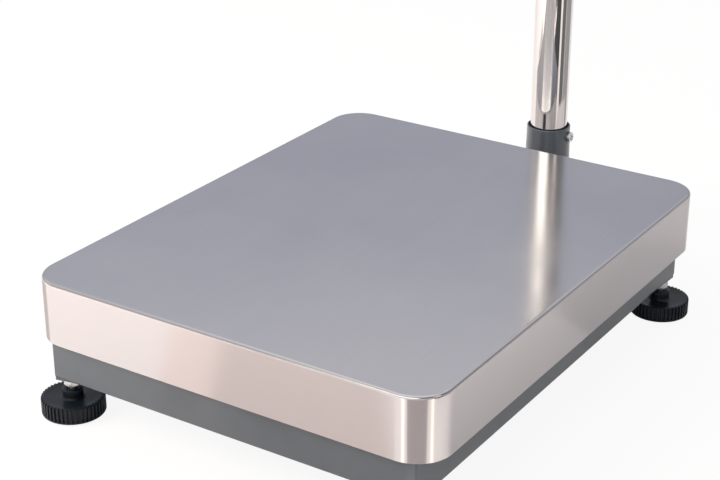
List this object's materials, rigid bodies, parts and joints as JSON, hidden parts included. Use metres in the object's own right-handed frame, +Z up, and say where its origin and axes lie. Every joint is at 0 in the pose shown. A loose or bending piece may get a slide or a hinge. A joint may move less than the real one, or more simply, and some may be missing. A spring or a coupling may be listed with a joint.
{
  "type": "platform scale",
  "caption": "Bench platform scale: stainless pan on a folded steel base with levelling feet, load cell inside, and a rear column with a tilting indicator.",
  "frame": {"origin": "on the floor, under the middle of the whole outline", "axes": "+X across the pan to its right, +Y from the front of the pan towards the column, +Z up"},
  "size_m": [0.406, 0.6308, 0.916],
  "materials": {
    "pan_steel": "brushed stainless",
    "column_steel": "polished stainless",
    "grey_paint": "slate grey satin paint",
    "black_plastic": "moulded nylon",
    "rubber": "soft matt",
    "zinc": "zinc plated",
    "aluminium": "milled",
    "clear": "clear",
    "housing": "moulded ABS, fine grain",
    "keys": "silicone",
    "electronics": "circuit board and display",
    "battery": "shrink sleeve"
  },
  "bodies": {
    "base": {"pan_pads": "rubber", "load_frame": "grey_paint", "tube_caps": "black_plastic", "load_cell": "aluminium", "cell_spacer_lower": "zinc", "cell_spacer_upper": "zinc", "cell_bolts_lower": "zinc", "cell_bolts_upper": "zinc", "cell_beam": "grey_paint", "base_sides": "grey_paint", "base_ends": "grey_paint", "corner_plates": "grey_paint", "stop_brackets": "grey_paint", "stop_screws": "zinc", "stop_nuts": "zinc", "column_bracket": "grey_paint", "bracket_bolts": "zinc", "column_collar": "grey_paint", "level_body": "aluminium", "level_vial": "clear", "cable_gland": "black_plastic"},
    "pan": {"weighing_pan": "pan_steel"},
    "sole_front_left": {"foot_sole_front_left": "rubber"},
    "foot_front_left": {"foot_knob_front_left": "black_plastic", "foot_stud_front_left": "zinc"},
    "nut_front_left": {"lock_nut_front_left": "zinc"},
    "sole_front_right": {"foot_sole_front_right": "rubber"},
    "foot_front_right": {"foot_knob_front_right": "black_plastic", "foot_stud_front_right": "zinc"},
    "nut_front_right": {"lock_nut_front_right": "zinc"},
    "sole_rear_left": {"foot_sole_rear_left": "rubber"},
    "foot_rear_left": {"foot_knob_rear_left": "black_plastic", "foot_stud_rear_left": "zinc"},
    "nut_rear_left": {"lock_nut_rear_left": "zinc"},
    "sole_rear_right": {"foot_sole_rear_right": "rubber"},
    "foot_rear_right": {"foot_knob_rear_right": "black_plastic", "foot_stud_rear_right": "zinc"},
    "nut_rear_right": {"lock_nut_rear_right": "zinc"},
    "clamp": {"clamp_screw": "zinc"},
    "column": {"column_tube": "column_steel", "column_plug": "black_plastic", "yoke": "grey_paint", "yoke_screw": "zinc"},
    "indicator": {"indicator_front": "housing", "indicator_rear": "housing", "display_window": "clear", "display_module": "electronics", "circuit_board": "electronics", "key_switches": "electronics", "battery_pack": "battery", "lead_socket": "black_plastic", "indicator_screws": "zinc"},
    "knob_left": {"tilt_knob_left": "black_plastic"},
    "knob_right": {"tilt_knob_right": "black_plastic"},
    "key_1": {"key_1": "keys"},
    "key_2": {"key_2": "keys"},
    "key_3": {"key_3": "keys"},
    "key_4": {"key_4": "keys"},
    "key_5": {"key_5": "keys"},
    "key_6": {"key_6": "keys"}
  },
  "joints": [
    {"name": "pan_lift", "type": "slide", "parent": "base", "child": "pan", "axis": [0, 0, 1], "range_m": [0, 0.12]},
    {"name": "foot_front_left_height", "type": "slide", "parent": "base", "child": "sole_front_left", "axis": [0, 0, -1], "range_m": [-0.00125, 0.01375]},
    {"name": "foot_front_left_turn", "type": "hinge", "parent": "sole_front_left", "child": "foot_front_left", "pos_m": [-0.1748, -0.28726, 0], "axis": [0, 0, -1], "range_deg": [-360, 3960]},
    {"name": "lock_nut_front_left_turn", "type": "hinge", "parent": "base", "child": "nut_front_left", "pos_m": [-0.1748, -0.28726, 0.0335], "axis": [0, 0, -1], "range_deg": [0, 360]},
    {"name": "foot_front_right_height", "type": "slide", "parent": "base", "child": "sole_front_right", "axis": [0, 0, -1], "range_m": [-0.00125, 0.01375]},
    {"name": "foot_front_right_turn", "type": "hinge", "parent": "sole_front_right", "child": "foot_front_right", "pos_m": [0.1748, -0.28726, 0], "axis": [0, 0, -1], "range_deg": [-360, 3960]},
    {"name": "lock_nut_front_right_turn", "type": "hinge", "parent": "base", "child": "nut_front_right", "pos_m": [0.1748, -0.28726, 0.0335], "axis": [0, 0, -1], "range_deg": [0, 360]},
    {"name": "foot_rear_left_height", "type": "slide", "parent": "base", "child": "sole_rear_left", "axis": [0, 0, -1], "range_m": [-0.00125, 0.01375]},
    {"name": "foot_rear_left_turn", "type": "hinge", "parent": "sole_rear_left", "child": "foot_rear_left", "pos_m": [-0.1748, 0.17314, 0], "axis": [0, 0, -1], "range_deg": [-360, 3960]},
    {"name": "lock_nut_rear_left_turn", "type": "hinge", "parent": "base", "child": "nut_rear_left", "pos_m": [-0.1748, 0.17314, 0.0335], "axis": [0, 0, -1], "range_deg": [0, 360]},
    {"name": "foot_rear_right_height", "type": "slide", "parent": "base", "child": "sole_rear_right", "axis": [0, 0, -1], "range_m": [-0.00125, 0.01375]},
    {"name": "foot_rear_right_turn", "type": "hinge", "parent": "sole_rear_right", "child": "foot_rear_right", "pos_m": [0.1748, 0.17314, 0], "axis": [0, 0, -1], "range_deg": [-360, 3960]},
    {"name": "lock_nut_rear_right_turn", "type": "hinge", "parent": "base", "child": "nut_rear_right", "pos_m": [0.1748, 0.17314, 0.0335], "axis": [0, 0, -1], "range_deg": [0, 360]},
    {"name": "clamp_screw_turn", "type": "hinge", "parent": "base", "child": "clamp", "pos_m": [0.022, 0.26494, 0.1222], "axis": [1, 0, 0], "range_deg": [0, 720]},
    {"name": "column_turn", "type": "hinge", "parent": "base", "child": "column", "pos_m": [0, 0.26494, 0.1312], "axis": [0, 0, 1], "range_deg": [-90, 90]},
    {"name": "indicator_tilt", "type": "hinge", "parent": "column", "child": "indicator", "pos_m": [0, 0.26494, 0.8387], "axis": [1, 0, 0], "range_deg": [-30, 20]},
    {"name": "tilt_knob_left_turn", "type": "hinge", "parent": "indicator", "child": "knob_left", "pos_m": [-0.105, 0.26494, 0.8387], "axis": [-1, 0, 0], "range_deg": [0, 720]},
    {"name": "tilt_knob_right_turn", "type": "hinge", "parent": "indicator", "child": "knob_right", "pos_m": [0.105, 0.26494, 0.8387], "axis": [1, 0, 0], "range_deg": [0, 720]},
    {"name": "key_1_press", "type": "slide", "parent": "indicator", "child": "key_1", "axis": [0, 0.866, -0.5], "range_m": [0, 0.001], "stiffness_N_per_m": 1000},
    {"name": "key_2_press", "type": "slide", "parent": "indicator", "child": "key_2", "axis": [0, 0.866, -0.5], "range_m": [0, 0.001], "stiffness_N_per_m": 1000},
    {"name": "key_3_press", "type": "slide", "parent": "indicator", "child": "key_3", "axis": [0, 0.866, -0.5], "range_m": [0, 0.001], "stiffness_N_per_m": 1000},
    {"name": "key_4_press", "type": "slide", "parent": "indicator", "child": "key_4", "axis": [0, 0.866, -0.5], "range_m": [0, 0.001], "stiffness_N_per_m": 1000},
    {"name": "key_5_press", "type": "slide", "parent": "indicator", "child": "key_5", "axis": [0, 0.866, -0.5], "range_m": [0, 0.001], "stiffness_N_per_m": 1000},
    {"name": "key_6_press", "type": "slide", "parent": "indicator", "child": "key_6", "axis": [0, 0.866, -0.5], "range_m": [0, 0.001], "stiffness_N_per_m": 1000}
  ],
  "couplings": [
    {"joint": "foot_front_left_height", "follows": "foot_front_left_turn", "m_per_rad": 0.00019894},
    {"joint": "foot_front_right_height", "follows": "foot_front_right_turn", "m_per_rad": 0.00019894},
    {"joint": "foot_rear_left_height", "follows": "foot_rear_left_turn", "m_per_rad": 0.00019894},
    {"joint": "foot_rear_right_height", "follows": "foot_rear_right_turn", "m_per_rad": 0.00019894}
  ]
}
